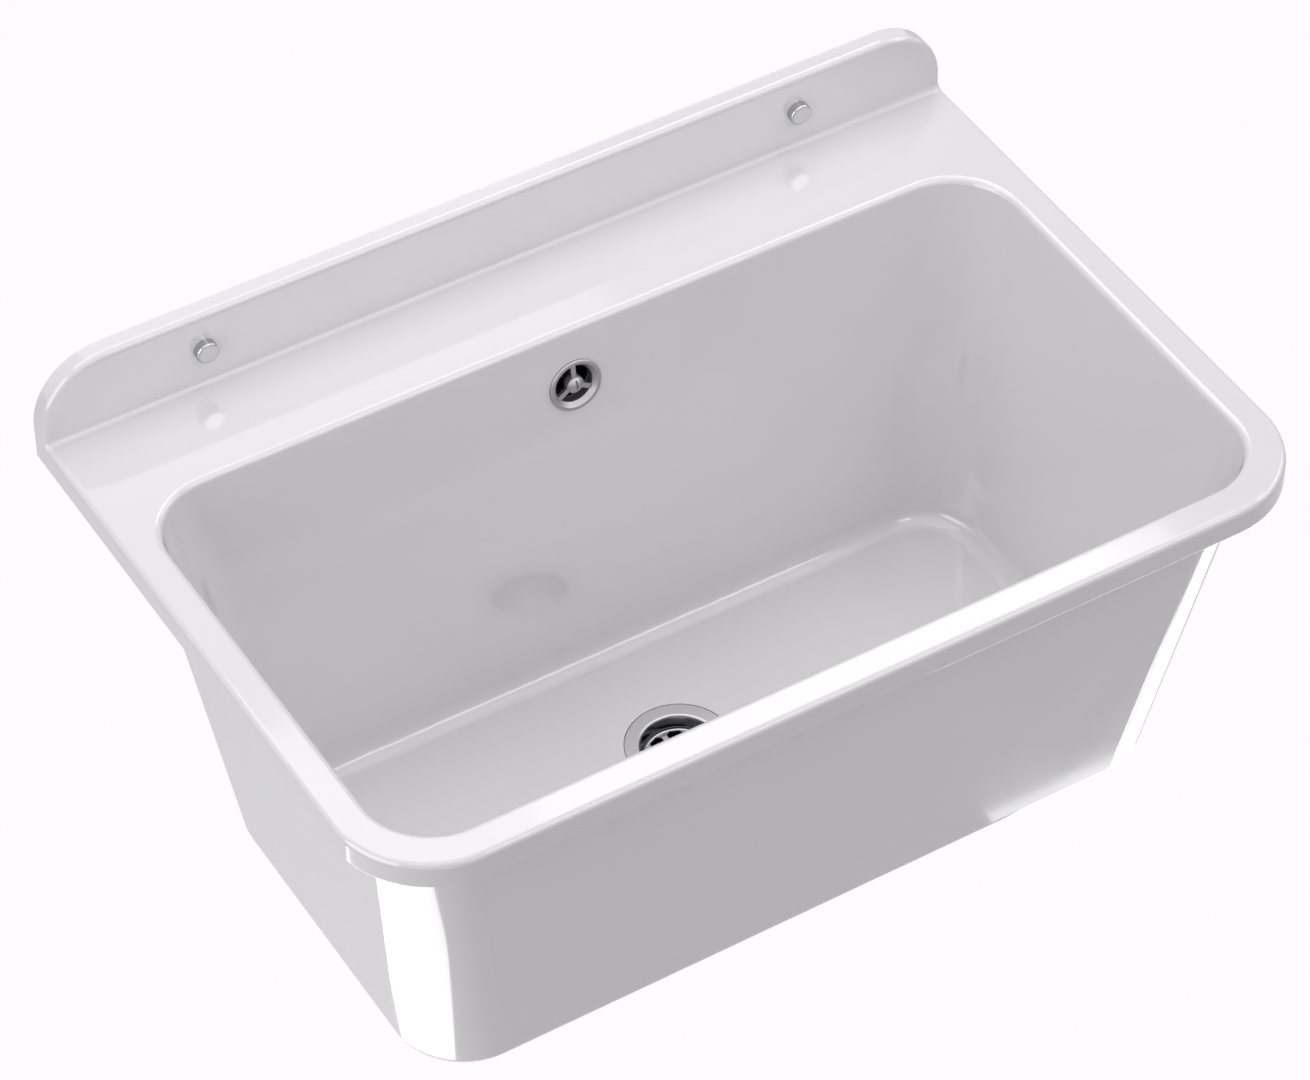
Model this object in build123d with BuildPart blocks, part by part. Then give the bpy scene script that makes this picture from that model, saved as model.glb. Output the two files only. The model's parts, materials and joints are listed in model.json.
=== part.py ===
from build123d import *

import math
import os

# Wall-hung utility sink moulded in one piece, with its waste, overflow and bottle trap.
# X runs along the wall, -Y comes out of the wall and +Z is up, all in millimetres.
# The origin is midway between the two wall bolts, on the face of the wall.

# Rim and splashback
WIDTH = 600.0
DEPTH = 402.0
RIM_Z = -26.0
SKIRT_DROP = 16.7
SKIRT_WALL = 5.5
RIM_PLATE = 5.5
RIM_CORNER_R = 59.0
EDGE_R = 4.0
SKIRT_EDGE_R = 1.2
SPLASH_HEIGHT = 51.2
SPLASH_THICKNESS = 12.0
SPLASH_CORNER_R = 43.0

# Bowl: the rim's width to each wall carried up to the rim's level, the walls' thickness there,
# and how much each wall leans inwards per millimetre down
RIM_SIDE = 21.1
RIM_FRONT = 21.7
LEDGE = 80.7
BOWL_DEPTH = 237.5
SIDE_LEAN = 0.141
BACK_LEAN = 0.136
BOWL_FRONT_LEAN = 0.145
BOWL_CORNER_R = 41.0
BOWL_FLOOR_CORNER_R = 40.0
BOWL_FLOOR_EDGE_R = 12.5
SIDE_WALL = 4.5
FRONT_WALL = 5.0
BACK_WALL = 9.4
FLOOR = 6.5
BODY_FRONT_LEAN = 0.149
BODY_FRONT_CORNER_R = 45.0
BODY_BACK_CORNER_R = 30.0
BODY_EDGE_R = 8.0

# Wall fixings
BOLT_INSET = 102.5
BOLT_R = 3.0
BOLT_WALL_R = 4.0
BOLT_BEHIND_WALL = 15.0
BOLT_HOLE_R = 4.5
BOLT_RECESS_R = 6.3
BOLT_RECESS_DEPTH = 2.5
WASHER_R = 6.0
WASHER_THICKNESS = 1.2
BOLT_NUT_FLATS = 10.0
BOLT_NUT_HEIGHT = 5.0
BOLT_END_PROUD = 0.5
CAP_R = 7.0
CAP_WALL = 0.9
CAP_HEIGHT = 5.6
CAP_EDGE_R = 1.3

# Clearances, how far a blind bore stays off what is behind it, how much longer than the wall a
# cut right through is, and how near counts as the same place
LOOSE = 0.3
CLOSE = 0.05
BORE_MARGIN = 1.0
THROUGH = 3
NEAR = 0.01

# Overflow, on the back wall of the bowl
OVERFLOW_DROP = 39.1
ROSETTE_R = 17.0
ROSETTE_THICKNESS = 2.0
ROSETTE_EDGE_R = 1.0
ROSETTE_CONE_R = 14.6
ROSETTE_OPENING_R = 12.2
ROSETTE_CONE_DEPTH = 2.8
ROSETTE_SLEEVE_R = 13.7
ROSETTE_SLEEVE_DEPTH = 6.0
OVERFLOW_HOLE_R = 14.0
SPOKE_WIDTH = 3.1
SPOKE_THICKNESS = 2.4
SPOKE_TOP = -0.2
HUB_R = 5.4
HUB_TOP = 0.6
HUB_THICKNESS = 4.0
OVERFLOW_SCREW_HEAD_R = 4.7
OVERFLOW_SCREW_HEAD_HEIGHT = 2.4
OVERFLOW_SCREW_R = 2.4
OVERFLOW_SCREW_LENGTH = 28.0
SCREW_SLOT = 1.1
SCREW_SLOT_DEPTH = 1.3
GASKET_THICKNESS = 2.5
ELBOW_FLANGE_R = 19.5
ELBOW_FLANGE_THICKNESS = 2.5
ELBOW_R = 16.5
ELBOW_BORE_R = 14.0
ELBOW_DEPTH = 28.5
ELBOW_WALL = 2.5
ELBOW_EDGE_R = 3.0
ELBOW_BOSS_R = 6.0
ELBOW_BOSS_SETBACK = 8.0
ELBOW_SCREW_BORE = 24.0
INSERT_R = 4.2
INSERT_LENGTH = 8.0
OVERFLOW_PIPE_R = 9.0
OVERFLOW_PIPE_WALL = 1.6
OVERFLOW_THREAD_R = 12.0
OVERFLOW_NUT_R = 15.5
OVERFLOW_NUT_HEIGHT = 17.0
OVERFLOW_SEAL = 3.0
OVERFLOW_INSERTION = 12.0
OVERFLOW_BEND_R = 30.0
SPIGOT_SETBACK = 15.5
SPIGOT_START = 10.0
SPIGOT_END = 36.0
NUT_LIP = 2.5

# Waste
WASTE_Y = -202.3
STRAINER_R = 32.75
STRAINER_SHEET = 1.2
STRAINER_BELOW_FLOOR = 0.2
STRAINER_MOUTH_R = 23.7
STRAINER_BEND_R = 1.6
STRAINER_GRID_R = 21.5
STRAINER_DEPTH = 9.0
GRID_BEAD_R = 20.3
GRID_BEAD = 0.9
GRID_SLOTS = 8
GRID_SLOT_CENTRE_R = 16.5
GRID_SLOT_LENGTH = 9.6
GRID_SLOT_WIDTH = 5.6
STRAINER_GASKET = 1.6
STRAINER_GASKET_R = 32.0
STRAINER_GASKET_BORE_R = 27.0
WASTE_HOLE_R = 26.0
WASTE_SCREW_HEAD_R = 5.0
WASTE_SCREW_HEAD_HEIGHT = 2.2
WASTE_SCREW_R = 3.0
WASTE_SCREW_LENGTH = 20.0
WASTE_GASKET_R = 35.0
WASTE_GASKET_BORE_R = 26.5
WASTE_GASKET_THICKNESS = 3.0
WASTE_FLANGE_R = 36.0
WASTE_FLANGE_THICKNESS = 3.5
WASTE_THROAT_GAP = 0.6
WASTE_BODY_WALL = 2.7
WASTE_BODY_LENGTH = 25.0
WASTE_CONE = 4.0
WASTE_TAIL_R = 20.95
WASTE_TAIL_BORE_R = 17.0
WASTE_TAIL_LENGTH = 15.0
WASTE_FUNNEL_START = 23.0
WASTE_FUNNEL_END = 27.5
WASTE_BOSS_R = 8.5
WASTE_BOSS_TOP = 6.0
WASTE_BOSS_LENGTH = 11.0
WASTE_WEB_THICKNESS = 3.0
WASTE_WEB_TOP = 8.0
WASTE_WEB_HEIGHT = 6.0
WASTE_INSERT_FLATS = 10.0
WASTE_INSERT_HEIGHT = 5.0
WASTE_INLET_DROP = 15.0
WASTE_INLET_REACH = 51.0

# Bottle trap
TRAP_NUT_R = 25.0
TRAP_NUT_HEIGHT = 24.5
TRAP_WASHER = 2.5
TRAP_WASHER_BORE_R = 14.5
TUBE_FLANGE = 2.0
TUBE_FLANGE_R = 20.6
TUBE_R = 16.0
TUBE_WALL = 2.2
TUBE_ABOVE_CUP_FLOOR = 7.0
NECK_COLLAR_R = 20.9
NECK_COLLAR = 3.0
NECK_R = 19.5
NECK = 4.0
HEAD_R = 31.0
HEAD_BORE_R = 26.8
HEAD_TOP = 3.0
HEAD_SHOULDER_R = 4.0
HEAD_HEIGHT = 42.5
HEAD_THREAD_R = 29.6
HEAD_THREAD_LENGTH = 14.0
OUTLET_DROP = 20.5
OUTLET_THREAD_R = 20.95
OUTLET_BORE_R = 14.0
OUTLET_REACH = 49.5
OUTLET_NUT_R = 25.0
OUTLET_NUT_HEIGHT = 20.0
OUTLET_SEAL = 3.0
OUTLET_PIPE_R = 16.0
OUTLET_PIPE_WALL = 2.0
OUTLET_INSERTION = 15.0
OUTLET_BEHIND_WALL = 30.0
OUTLET_MARK_BEHIND_WALL = 1.0
OUTLET_MARK_WIDTH = 1.0
OUTLET_MARK_DEPTH = 0.4
CUP_COLLAR_R = 33.5
CUP_COLLAR_EDGE_R = 1.0
CUP_SHOULDER = 3.0
CUP_R = 29.0
CUP_WALL = 2.5
CUP_HEIGHT = 41.5
CUP_EDGE_R = 8.0
CUP_SEAL = 2.0
WALL_ROSETTE_R = 35.0
WALL_ROSETTE_RIM = 1.5
WALL_ROSETTE_DEPTH = 12.0
WALL_ROSETTE_NOSE_R = 19.5
WALL_ROSETTE_SLEEVE = 6.0
WALL_ROSETTE_SHEET = 1.2
WALL_ROSETTE_BEND_R = 2.5

# Ribs of the hand nuts
NUT_RIBS = 12
NUT_RIB_R = 1.6

SPLASH_TOP_Z = RIM_Z + SPLASH_HEIGHT
SKIRT_Z = RIM_Z - SKIRT_DROP
FLOOR_Z = RIM_Z - BOWL_DEPTH
BASE_Z = FLOOR_Z - FLOOR
bowl_half_width = WIDTH / 2 - RIM_SIDE
bowl_front_y = RIM_FRONT - DEPTH
bolt_x = WIDTH / 2 - BOLT_INSET
nut_seat = SPLASH_THICKNESS - BOLT_RECESS_DEPTH + WASHER_THICKNESS


# A turned piece: (radius, height) points, with a third number where a corner is rounded
def turned(points, place=Plane.XY):
    with BuildPart() as piece:
        with BuildSketch(Plane.XZ) as section:
            with BuildLine():
                Polyline(*[(point[0], point[1]) for point in points], close=True)
            make_face()
            for point in points:
                if len(point) == 3:
                    corner = section.vertices().sort_by_distance((point[0], point[1], 0))[0]
                    fillet(corner, point[2])
        revolve(axis=Axis.Z)
    return place.location * piece.part


# A flat ring standing on a plane
def ring(outer_r, inner_r, height, place):
    with BuildPart(place) as piece:
        Cylinder(outer_r, height, align=(Align.CENTER, Align.CENTER, Align.MIN))
        Cylinder(inner_r, height, align=(Align.CENTER, Align.CENTER, Align.MIN), mode=Mode.SUBTRACT)
    return piece.part


# A hand nut: a ribbed ring around the thread, closed to a lip at the far end
def hand_nut(outer_r, thread_r, lip_r, height, lip, place):
    with BuildPart(place) as piece:
        Cylinder(outer_r - NUT_RIB_R / 2, height, align=(Align.CENTER, Align.CENTER, Align.MIN))
        with PolarLocations(outer_r - NUT_RIB_R, NUT_RIBS):
            Cylinder(NUT_RIB_R, height, align=(Align.CENTER, Align.CENTER, Align.MIN))
        Cylinder(lip_r, height, align=(Align.CENTER, Align.CENTER, Align.MIN), mode=Mode.SUBTRACT)
        Cylinder(
            thread_r,
            height - lip,
            align=(Align.CENTER, Align.CENTER, Align.MIN),
            mode=Mode.SUBTRACT,
        )
    return piece.part


# A dome-headed slotted screw; its plane lies under the head
def dome_screw(head_r, head_height, shank_r, length, place):
    dome_r = (head_r**2 + head_height**2) / (2 * head_height)
    with BuildPart() as piece:
        with Locations((0, 0, head_height - dome_r)):
            Sphere(dome_r)
        split(bisect_by=Plane.XY, keep=Keep.TOP)
        with Locations((0, 0, head_height)):
            Box(SCREW_SLOT, THROUGH * head_r, 2 * SCREW_SLOT_DEPTH, mode=Mode.SUBTRACT)
        Cylinder(shank_r, length, align=(Align.CENTER, Align.CENTER, Align.MAX))
    return place.location * piece.part


# The outline of the bowl's inside or outside at one depth below the rim
def outline(depth, half_width, back_y, front_y, front_lean, front_r, back_r):
    half = half_width - SIDE_LEAN * depth
    back = back_y - BACK_LEAN * depth
    front = front_y + front_lean * depth
    with BuildSketch(Plane.XY.offset(RIM_Z - depth)) as plan:
        with Locations((0, (front + back) / 2)):
            Rectangle(2 * half, back - front)
        fillet(plan.vertices().group_by(Axis.Y)[0], front_r)
        fillet(plan.vertices().group_by(Axis.Y)[-1], back_r)
    return plan.sketch


os.makedirs("parts", exist_ok=True)

# Basin
with BuildPart() as bowl_space:
    loft(
        [
            outline(
                depth,
                bowl_half_width,
                -LEDGE,
                bowl_front_y,
                BOWL_FRONT_LEAN,
                corner_r,
                corner_r,
            )
            for depth, corner_r in ((0, BOWL_CORNER_R), (BOWL_DEPTH, BOWL_FLOOR_CORNER_R))
        ],
        ruled=True,
    )
    fillet(bowl_space.faces().sort_by(Axis.Z)[0].edges(), BOWL_FLOOR_EDGE_R)

with BuildPart() as bowl_body:
    loft(
        [
            outline(
                depth,
                bowl_half_width + SIDE_WALL,
                BACK_WALL - LEDGE,
                bowl_front_y - FRONT_WALL,
                BODY_FRONT_LEAN,
                BODY_FRONT_CORNER_R,
                BODY_BACK_CORNER_R,
            )
            for depth in (RIM_PLATE / 2, BOWL_DEPTH + FLOOR)
        ],
        ruled=True,
    )
    fillet(bowl_body.faces().sort_by(Axis.Z)[0].edges(), BODY_EDGE_R)

overflow_place = Plane(
    origin=(0, -LEDGE - BACK_LEAN * OVERFLOW_DROP, RIM_Z - OVERFLOW_DROP),
    x_dir=(1, 0, 0),
    z_dir=(0, -1, BACK_LEAN),
)
back_wall = BACK_WALL * math.cos(math.atan(BACK_LEAN))

with BuildPart() as basin:
    with BuildSketch(Plane.XY.offset(SKIRT_Z)) as rim_plan:
        with Locations((0, -DEPTH / 2)):
            Rectangle(WIDTH, DEPTH)
        fillet(rim_plan.vertices().group_by(Axis.Y)[0], RIM_CORNER_R)
    extrude(amount=SKIRT_DROP)
    with BuildSketch(Plane.XZ) as splash_face:
        with Locations((0, (SPLASH_TOP_Z + SKIRT_Z) / 2)):
            Rectangle(WIDTH, SPLASH_TOP_Z - SKIRT_Z)
        fillet(splash_face.vertices().group_by(Axis.Y)[-1], SPLASH_CORNER_R)
    extrude(amount=SPLASH_THICKNESS)
    corner = Vector(0, -SPLASH_THICKNESS, RIM_Z)
    fillet(basin.edges().filter_by(Axis.X).sort_by_distance(corner)[0], EDGE_R)
    skirt_bottom = basin.faces().sort_by(Axis.Z)[0].edges()
    fillet(skirt_bottom.filter_by(lambda e: e.center().Y < -NEAR), SKIRT_EDGE_R)
    rim_top = basin.faces().filter_by(Axis.Z).sort_by_distance(corner)[0]
    splash_front = basin.faces().filter_by(Axis.Y).sort_by_distance(corner)[0]
    blend = basin.faces().filter_by(GeomType.CYLINDER).sort_by_distance(corner)[0]
    outer_edges = ShapeList(
        [
            edge
            for face in (rim_top, splash_front, blend)
            for edge in face.edges()
            if (edge.center() - corner).length > EDGE_R + NEAR
        ]
    )
    fillet(outer_edges, EDGE_R)
    with BuildSketch(Plane.XY.offset(SKIRT_Z)) as underside:
        with Locations((0, -DEPTH / 2)):
            Rectangle(WIDTH - 2 * SKIRT_WALL, DEPTH - 2 * SKIRT_WALL)
        fillet(underside.vertices().group_by(Axis.Y)[0], RIM_CORNER_R - SKIRT_WALL)
        fillet(underside.vertices().group_by(Axis.Y)[-1], SKIRT_WALL)
    extrude(amount=SKIRT_DROP - RIM_PLATE, mode=Mode.SUBTRACT)
    add(bowl_body.part)
    add(bowl_space.part, mode=Mode.SUBTRACT)
    mouth = basin.edges().filter_by(
        lambda e: abs(e.center().Z - RIM_Z) < NEAR
        and e.bounding_box().size.Z < NEAR
        and abs(e.center().X) < bowl_half_width + NEAR
        and bowl_front_y - NEAR < e.center().Y < NEAR - LEDGE
    )
    fillet(mouth, EDGE_R)
    with Locations(Plane(origin=(0, WASTE_Y, FLOOR_Z), z_dir=(0, 0, -1))):
        Cylinder(
            STRAINER_R + LOOSE,
            STRAINER_BELOW_FLOOR + STRAINER_SHEET + STRAINER_GASKET,
            align=(Align.CENTER, Align.CENTER, Align.MIN),
            mode=Mode.SUBTRACT,
        )
        Cylinder(WASTE_HOLE_R, THROUGH * FLOOR, mode=Mode.SUBTRACT)
    with Locations(overflow_place):
        Cylinder(OVERFLOW_HOLE_R, THROUGH * back_wall, mode=Mode.SUBTRACT)
    for side in (-1, 1):
        with Locations(Plane(origin=(side * bolt_x, -SPLASH_THICKNESS, 0), z_dir=(0, 1, 0))):
            Cylinder(
                BOLT_RECESS_R,
                BOLT_RECESS_DEPTH,
                align=(Align.CENTER, Align.CENTER, Align.MIN),
                mode=Mode.SUBTRACT,
            )
            Cylinder(BOLT_HOLE_R, THROUGH * SPLASH_THICKNESS, mode=Mode.SUBTRACT)

# Wall fixings
with BuildPart() as wall_bolts:
    for side in (-1, 1):
        with Locations(Plane(origin=(side * bolt_x, 0, 0), z_dir=(0, -1, 0))):
            Cylinder(
                BOLT_R,
                nut_seat + BOLT_NUT_HEIGHT + BOLT_END_PROUD,
                align=(Align.CENTER, Align.CENTER, Align.MIN),
            )
            Cylinder(
                BOLT_WALL_R, BOLT_BEHIND_WALL, align=(Align.CENTER, Align.CENTER, Align.MAX)
            )
    bolt_ends = wall_bolts.edges().filter_by(GeomType.CIRCLE).group_by(Axis.Y)
    chamfer(bolt_ends[0] + bolt_ends[-1], BOLT_END_PROUD)

with BuildPart() as bolt_bushes:
    for side in (-1, 1):
        with Locations(Plane(origin=(side * bolt_x, 0, 0), z_dir=(0, -1, 0))):
            Cylinder(
                BOLT_HOLE_R - CLOSE,
                SPLASH_THICKNESS - BOLT_RECESS_DEPTH,
                align=(Align.CENTER, Align.CENTER, Align.MIN),
            )
            Cylinder(BOLT_R + CLOSE, THROUGH * SPLASH_THICKNESS, mode=Mode.SUBTRACT)

with BuildPart() as bolt_washers:
    for side in (-1, 1):
        washer_place = Plane(
            origin=(side * bolt_x, BOLT_RECESS_DEPTH - SPLASH_THICKNESS, 0), z_dir=(0, -1, 0)
        )
        with Locations(washer_place):
            Cylinder(WASHER_R, WASHER_THICKNESS, align=(Align.CENTER, Align.CENTER, Align.MIN))
            Cylinder(BOLT_R + LOOSE, THROUGH * WASHER_THICKNESS, mode=Mode.SUBTRACT)

with BuildPart() as bolt_nuts:
    for side in (-1, 1):
        nut_place = Plane(origin=(side * bolt_x, -nut_seat, 0), x_dir=(1, 0, 0), z_dir=(0, -1, 0))
        with BuildSketch(nut_place):
            RegularPolygon(BOLT_NUT_FLATS / 2, 6, major_radius=False)
            Circle(BOLT_R + CLOSE, mode=Mode.SUBTRACT)
        extrude(amount=BOLT_NUT_HEIGHT)

cap_profile = [
    (CAP_R, 0),
    (CAP_R, CAP_HEIGHT, CAP_EDGE_R),
    (0, CAP_HEIGHT),
    (0, CAP_HEIGHT - CAP_WALL),
    (CAP_R - CAP_WALL, CAP_HEIGHT - CAP_WALL),
    (CAP_R - CAP_WALL, 0),
]
left_fixing_cap, right_fixing_cap = [
    turned(cap_profile, Plane(origin=(side * bolt_x, -SPLASH_THICKNESS, 0), z_dir=(0, -1, 0)))
    for side in (-1, 1)
]

# Overflow
rosette_ring = turned(
    [
        (ROSETTE_R, 0),
        (ROSETTE_R, ROSETTE_THICKNESS, ROSETTE_EDGE_R),
        (ROSETTE_CONE_R, ROSETTE_THICKNESS),
        (ROSETTE_OPENING_R, ROSETTE_THICKNESS - ROSETTE_CONE_DEPTH),
        (ROSETTE_OPENING_R, -ROSETTE_SLEEVE_DEPTH),
        (ROSETTE_SLEEVE_R, -ROSETTE_SLEEVE_DEPTH),
        (ROSETTE_SLEEVE_R, 0),
    ],
    overflow_place,
)
with BuildPart() as overflow_rosette:
    add(rosette_ring)
    with BuildSketch(overflow_place.offset(SPOKE_TOP)):
        with PolarLocations(0, 3, start_angle=90):
            with Locations((ROSETTE_SLEEVE_R / 2, 0)):
                Rectangle(ROSETTE_SLEEVE_R - CLOSE, SPOKE_WIDTH)
    extrude(amount=-SPOKE_THICKNESS)
    with Locations(overflow_place.offset(HUB_TOP)):
        Cylinder(HUB_R, HUB_THICKNESS, align=(Align.CENTER, Align.CENTER, Align.MAX))
        Cylinder(OVERFLOW_SCREW_R + LOOSE, THROUGH * HUB_THICKNESS, mode=Mode.SUBTRACT)

overflow_screw = dome_screw(
    OVERFLOW_SCREW_HEAD_R,
    OVERFLOW_SCREW_HEAD_HEIGHT,
    OVERFLOW_SCREW_R,
    OVERFLOW_SCREW_LENGTH,
    overflow_place.offset(HUB_TOP),
)
overflow_gasket = ring(
    ELBOW_FLANGE_R,
    ELBOW_BORE_R,
    GASKET_THICKNESS,
    overflow_place.offset(-back_wall - GASKET_THICKNESS),
)
elbow_place = overflow_place.offset(-back_wall - GASKET_THICKNESS)
elbow_cup = turned(
    [
        (ELBOW_BORE_R, 0),
        (ELBOW_FLANGE_R, 0),
        (ELBOW_FLANGE_R, -ELBOW_FLANGE_THICKNESS),
        (ELBOW_R, -ELBOW_FLANGE_THICKNESS),
        (ELBOW_R, -ELBOW_DEPTH, ELBOW_EDGE_R),
        (0, -ELBOW_DEPTH),
        (0, -ELBOW_BOSS_SETBACK),
        (ELBOW_BOSS_R, -ELBOW_BOSS_SETBACK),
        (ELBOW_BOSS_R, ELBOW_WALL - ELBOW_DEPTH),
        (ELBOW_BORE_R, ELBOW_WALL - ELBOW_DEPTH),
    ],
    elbow_place,
)
spigot_top = elbow_place.offset(-SPIGOT_SETBACK).origin
spigot_place = Plane(origin=spigot_top, z_dir=(0, 0, -1))
with BuildPart() as overflow_elbow:
    add(elbow_cup)
    with Locations(spigot_place.offset(SPIGOT_START)):
        Cylinder(
            OVERFLOW_THREAD_R,
            SPIGOT_END - SPIGOT_START,
            align=(Align.CENTER, Align.CENTER, Align.MIN),
        )
    with Locations(spigot_place.offset(ELBOW_BOSS_R + BORE_MARGIN)):
        Cylinder(
            OVERFLOW_PIPE_R - OVERFLOW_PIPE_WALL,
            SPIGOT_END,
            align=(Align.CENTER, Align.CENTER, Align.MIN),
            mode=Mode.SUBTRACT,
        )
    with Locations(spigot_place.offset(SPIGOT_END - OVERFLOW_INSERTION)):
        Cylinder(
            OVERFLOW_PIPE_R + LOOSE,
            OVERFLOW_INSERTION,
            align=(Align.CENTER, Align.CENTER, Align.MIN),
            mode=Mode.SUBTRACT,
        )
    with Locations(elbow_place.offset(-ELBOW_BOSS_SETBACK)):
        Cylinder(
            OVERFLOW_SCREW_R + LOOSE,
            ELBOW_SCREW_BORE - ELBOW_BOSS_SETBACK,
            align=(Align.CENTER, Align.CENTER, Align.MAX),
            mode=Mode.SUBTRACT,
        )
        Cylinder(
            INSERT_R + CLOSE,
            INSERT_LENGTH,
            align=(Align.CENTER, Align.CENTER, Align.MAX),
            mode=Mode.SUBTRACT,
        )
overflow_insert_nut = ring(
    INSERT_R,
    OVERFLOW_SCREW_R + CLOSE,
    INSERT_LENGTH,
    elbow_place.offset(-ELBOW_BOSS_SETBACK - INSERT_LENGTH),
)

inlet_z = BASE_Z - WASTE_GASKET_THICKNESS - WASTE_INLET_DROP
spigot_end = spigot_place.offset(SPIGOT_END)
inlet_end = Plane(origin=(0, WASTE_Y + WASTE_INLET_REACH, inlet_z), z_dir=(0, 1, 0))
with BuildPart() as overflow_pipe:
    with BuildLine() as pipe_path:
        FilletPolyline(
            spigot_end.offset(-OVERFLOW_INSERTION).origin,
            (0, spigot_top.Y, inlet_z),
            inlet_end.offset(-OVERFLOW_INSERTION).origin,
            radius=OVERFLOW_BEND_R,
        )
    with BuildSketch(spigot_end.offset(-OVERFLOW_INSERTION)):
        Circle(OVERFLOW_PIPE_R)
        Circle(OVERFLOW_PIPE_R - OVERFLOW_PIPE_WALL, mode=Mode.SUBTRACT)
    sweep()

nut_engagement = OVERFLOW_NUT_HEIGHT - NUT_LIP - OVERFLOW_SEAL
overflow_upper_nut, overflow_lower_nut = [
    hand_nut(
        OVERFLOW_NUT_R,
        OVERFLOW_THREAD_R + LOOSE,
        OVERFLOW_PIPE_R + LOOSE,
        OVERFLOW_NUT_HEIGHT,
        NUT_LIP,
        end.offset(-nut_engagement),
    )
    for end in (spigot_end, inlet_end)
]
overflow_upper_seal, overflow_lower_seal = [
    ring(OVERFLOW_THREAD_R, OVERFLOW_PIPE_R + CLOSE, OVERFLOW_SEAL, end)
    for end in (spigot_end, inlet_end)
]

# Waste
strainer_place = Plane(origin=(0, WASTE_Y, FLOOR_Z - STRAINER_BELOW_FLOOR))
strainer_sheet = turned(
    [
        (0, -STRAINER_DEPTH),
        (STRAINER_GRID_R, -STRAINER_DEPTH),
        (STRAINER_MOUTH_R, 0, STRAINER_BEND_R),
        (STRAINER_R, 0, STRAINER_SHEET / 3),
        (STRAINER_R, -STRAINER_SHEET),
        (STRAINER_MOUTH_R + STRAINER_SHEET, -STRAINER_SHEET, STRAINER_SHEET / 3),
        (STRAINER_GRID_R + STRAINER_SHEET, -STRAINER_DEPTH - STRAINER_SHEET, STRAINER_SHEET),
        (0, -STRAINER_DEPTH - STRAINER_SHEET),
    ],
    strainer_place,
)
grid_place = strainer_place.offset(-STRAINER_DEPTH)
with BuildPart() as waste_strainer:
    add(strainer_sheet)
    with Locations(grid_place):
        Torus(GRID_BEAD_R, GRID_BEAD)
    with BuildSketch(grid_place):
        with PolarLocations(GRID_SLOT_CENTRE_R, GRID_SLOTS, start_angle=180 / GRID_SLOTS):
            SlotOverall(GRID_SLOT_LENGTH, GRID_SLOT_WIDTH, rotation=90)
        Circle(WASTE_SCREW_R + LOOSE)
    extrude(amount=THROUGH * STRAINER_SHEET, both=True, mode=Mode.SUBTRACT)
waste_screw = dome_screw(
    WASTE_SCREW_HEAD_R,
    WASTE_SCREW_HEAD_HEIGHT,
    WASTE_SCREW_R,
    WASTE_SCREW_LENGTH,
    grid_place,
)
strainer_gasket = ring(
    STRAINER_GASKET_R,
    STRAINER_GASKET_BORE_R,
    STRAINER_GASKET,
    strainer_place.offset(-STRAINER_SHEET - STRAINER_GASKET),
)
waste_place = Plane(origin=(0, WASTE_Y, BASE_Z - WASTE_GASKET_THICKNESS))
waste_gasket = ring(WASTE_GASKET_R, WASTE_GASKET_BORE_R, WASTE_GASKET_THICKNESS, waste_place)

waste_bore_r = max(STRAINER_MOUTH_R, STRAINER_GRID_R + STRAINER_SHEET) + WASTE_THROAT_GAP
waste_body_r = waste_bore_r + WASTE_BODY_WALL
tail_start = WASTE_BODY_LENGTH + WASTE_CONE
tail_end = tail_start + WASTE_TAIL_LENGTH
waste_shell = turned(
    [
        (waste_bore_r, 0),
        (WASTE_FLANGE_R, 0),
        (WASTE_FLANGE_R, -WASTE_FLANGE_THICKNESS),
        (waste_body_r, -WASTE_FLANGE_THICKNESS),
        (waste_body_r, -WASTE_BODY_LENGTH),
        (WASTE_TAIL_R, -tail_start),
        (WASTE_TAIL_R, -tail_end),
        (WASTE_TAIL_BORE_R, -tail_end),
        (WASTE_TAIL_BORE_R, -WASTE_FUNNEL_END),
        (waste_bore_r, -WASTE_FUNNEL_START),
    ],
    waste_place,
)
with BuildPart() as waste_body:
    add(waste_shell)
    with Locations(waste_place.offset(-WASTE_BOSS_TOP)):
        Cylinder(
            WASTE_BOSS_R, WASTE_BOSS_LENGTH, align=(Align.CENTER, Align.CENTER, Align.MAX)
        )
    with Locations(waste_place.offset(-WASTE_WEB_TOP)):
        with PolarLocations(0, 2, start_angle=45):
            Box(
                2 * waste_bore_r + WASTE_BODY_WALL,
                WASTE_WEB_THICKNESS,
                WASTE_WEB_HEIGHT,
                align=(Align.CENTER, Align.CENTER, Align.MAX),
            )
    with Locations(inlet_end):
        Cylinder(
            OVERFLOW_THREAD_R,
            WASTE_INLET_REACH - waste_body_r + WASTE_BODY_WALL / 2,
            align=(Align.CENTER, Align.CENTER, Align.MAX),
        )
        Cylinder(
            OVERFLOW_PIPE_R - OVERFLOW_PIPE_WALL,
            WASTE_INLET_REACH - WASTE_BOSS_R - BORE_MARGIN,
            align=(Align.CENTER, Align.CENTER, Align.MAX),
            mode=Mode.SUBTRACT,
        )
        Cylinder(
            OVERFLOW_PIPE_R + LOOSE,
            OVERFLOW_INSERTION,
            align=(Align.CENTER, Align.CENTER, Align.MAX),
            mode=Mode.SUBTRACT,
        )
    insert_place = waste_place.offset(-WASTE_BOSS_TOP - WASTE_BOSS_LENGTH)
    with Locations(insert_place):
        Cylinder(WASTE_SCREW_R + LOOSE, THROUGH * WASTE_BOSS_LENGTH, mode=Mode.SUBTRACT)
    with BuildSketch(insert_place):
        RegularPolygon(WASTE_INSERT_FLATS / 2 + CLOSE, 6, major_radius=False)
    extrude(amount=WASTE_INSERT_HEIGHT, mode=Mode.SUBTRACT)
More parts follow.
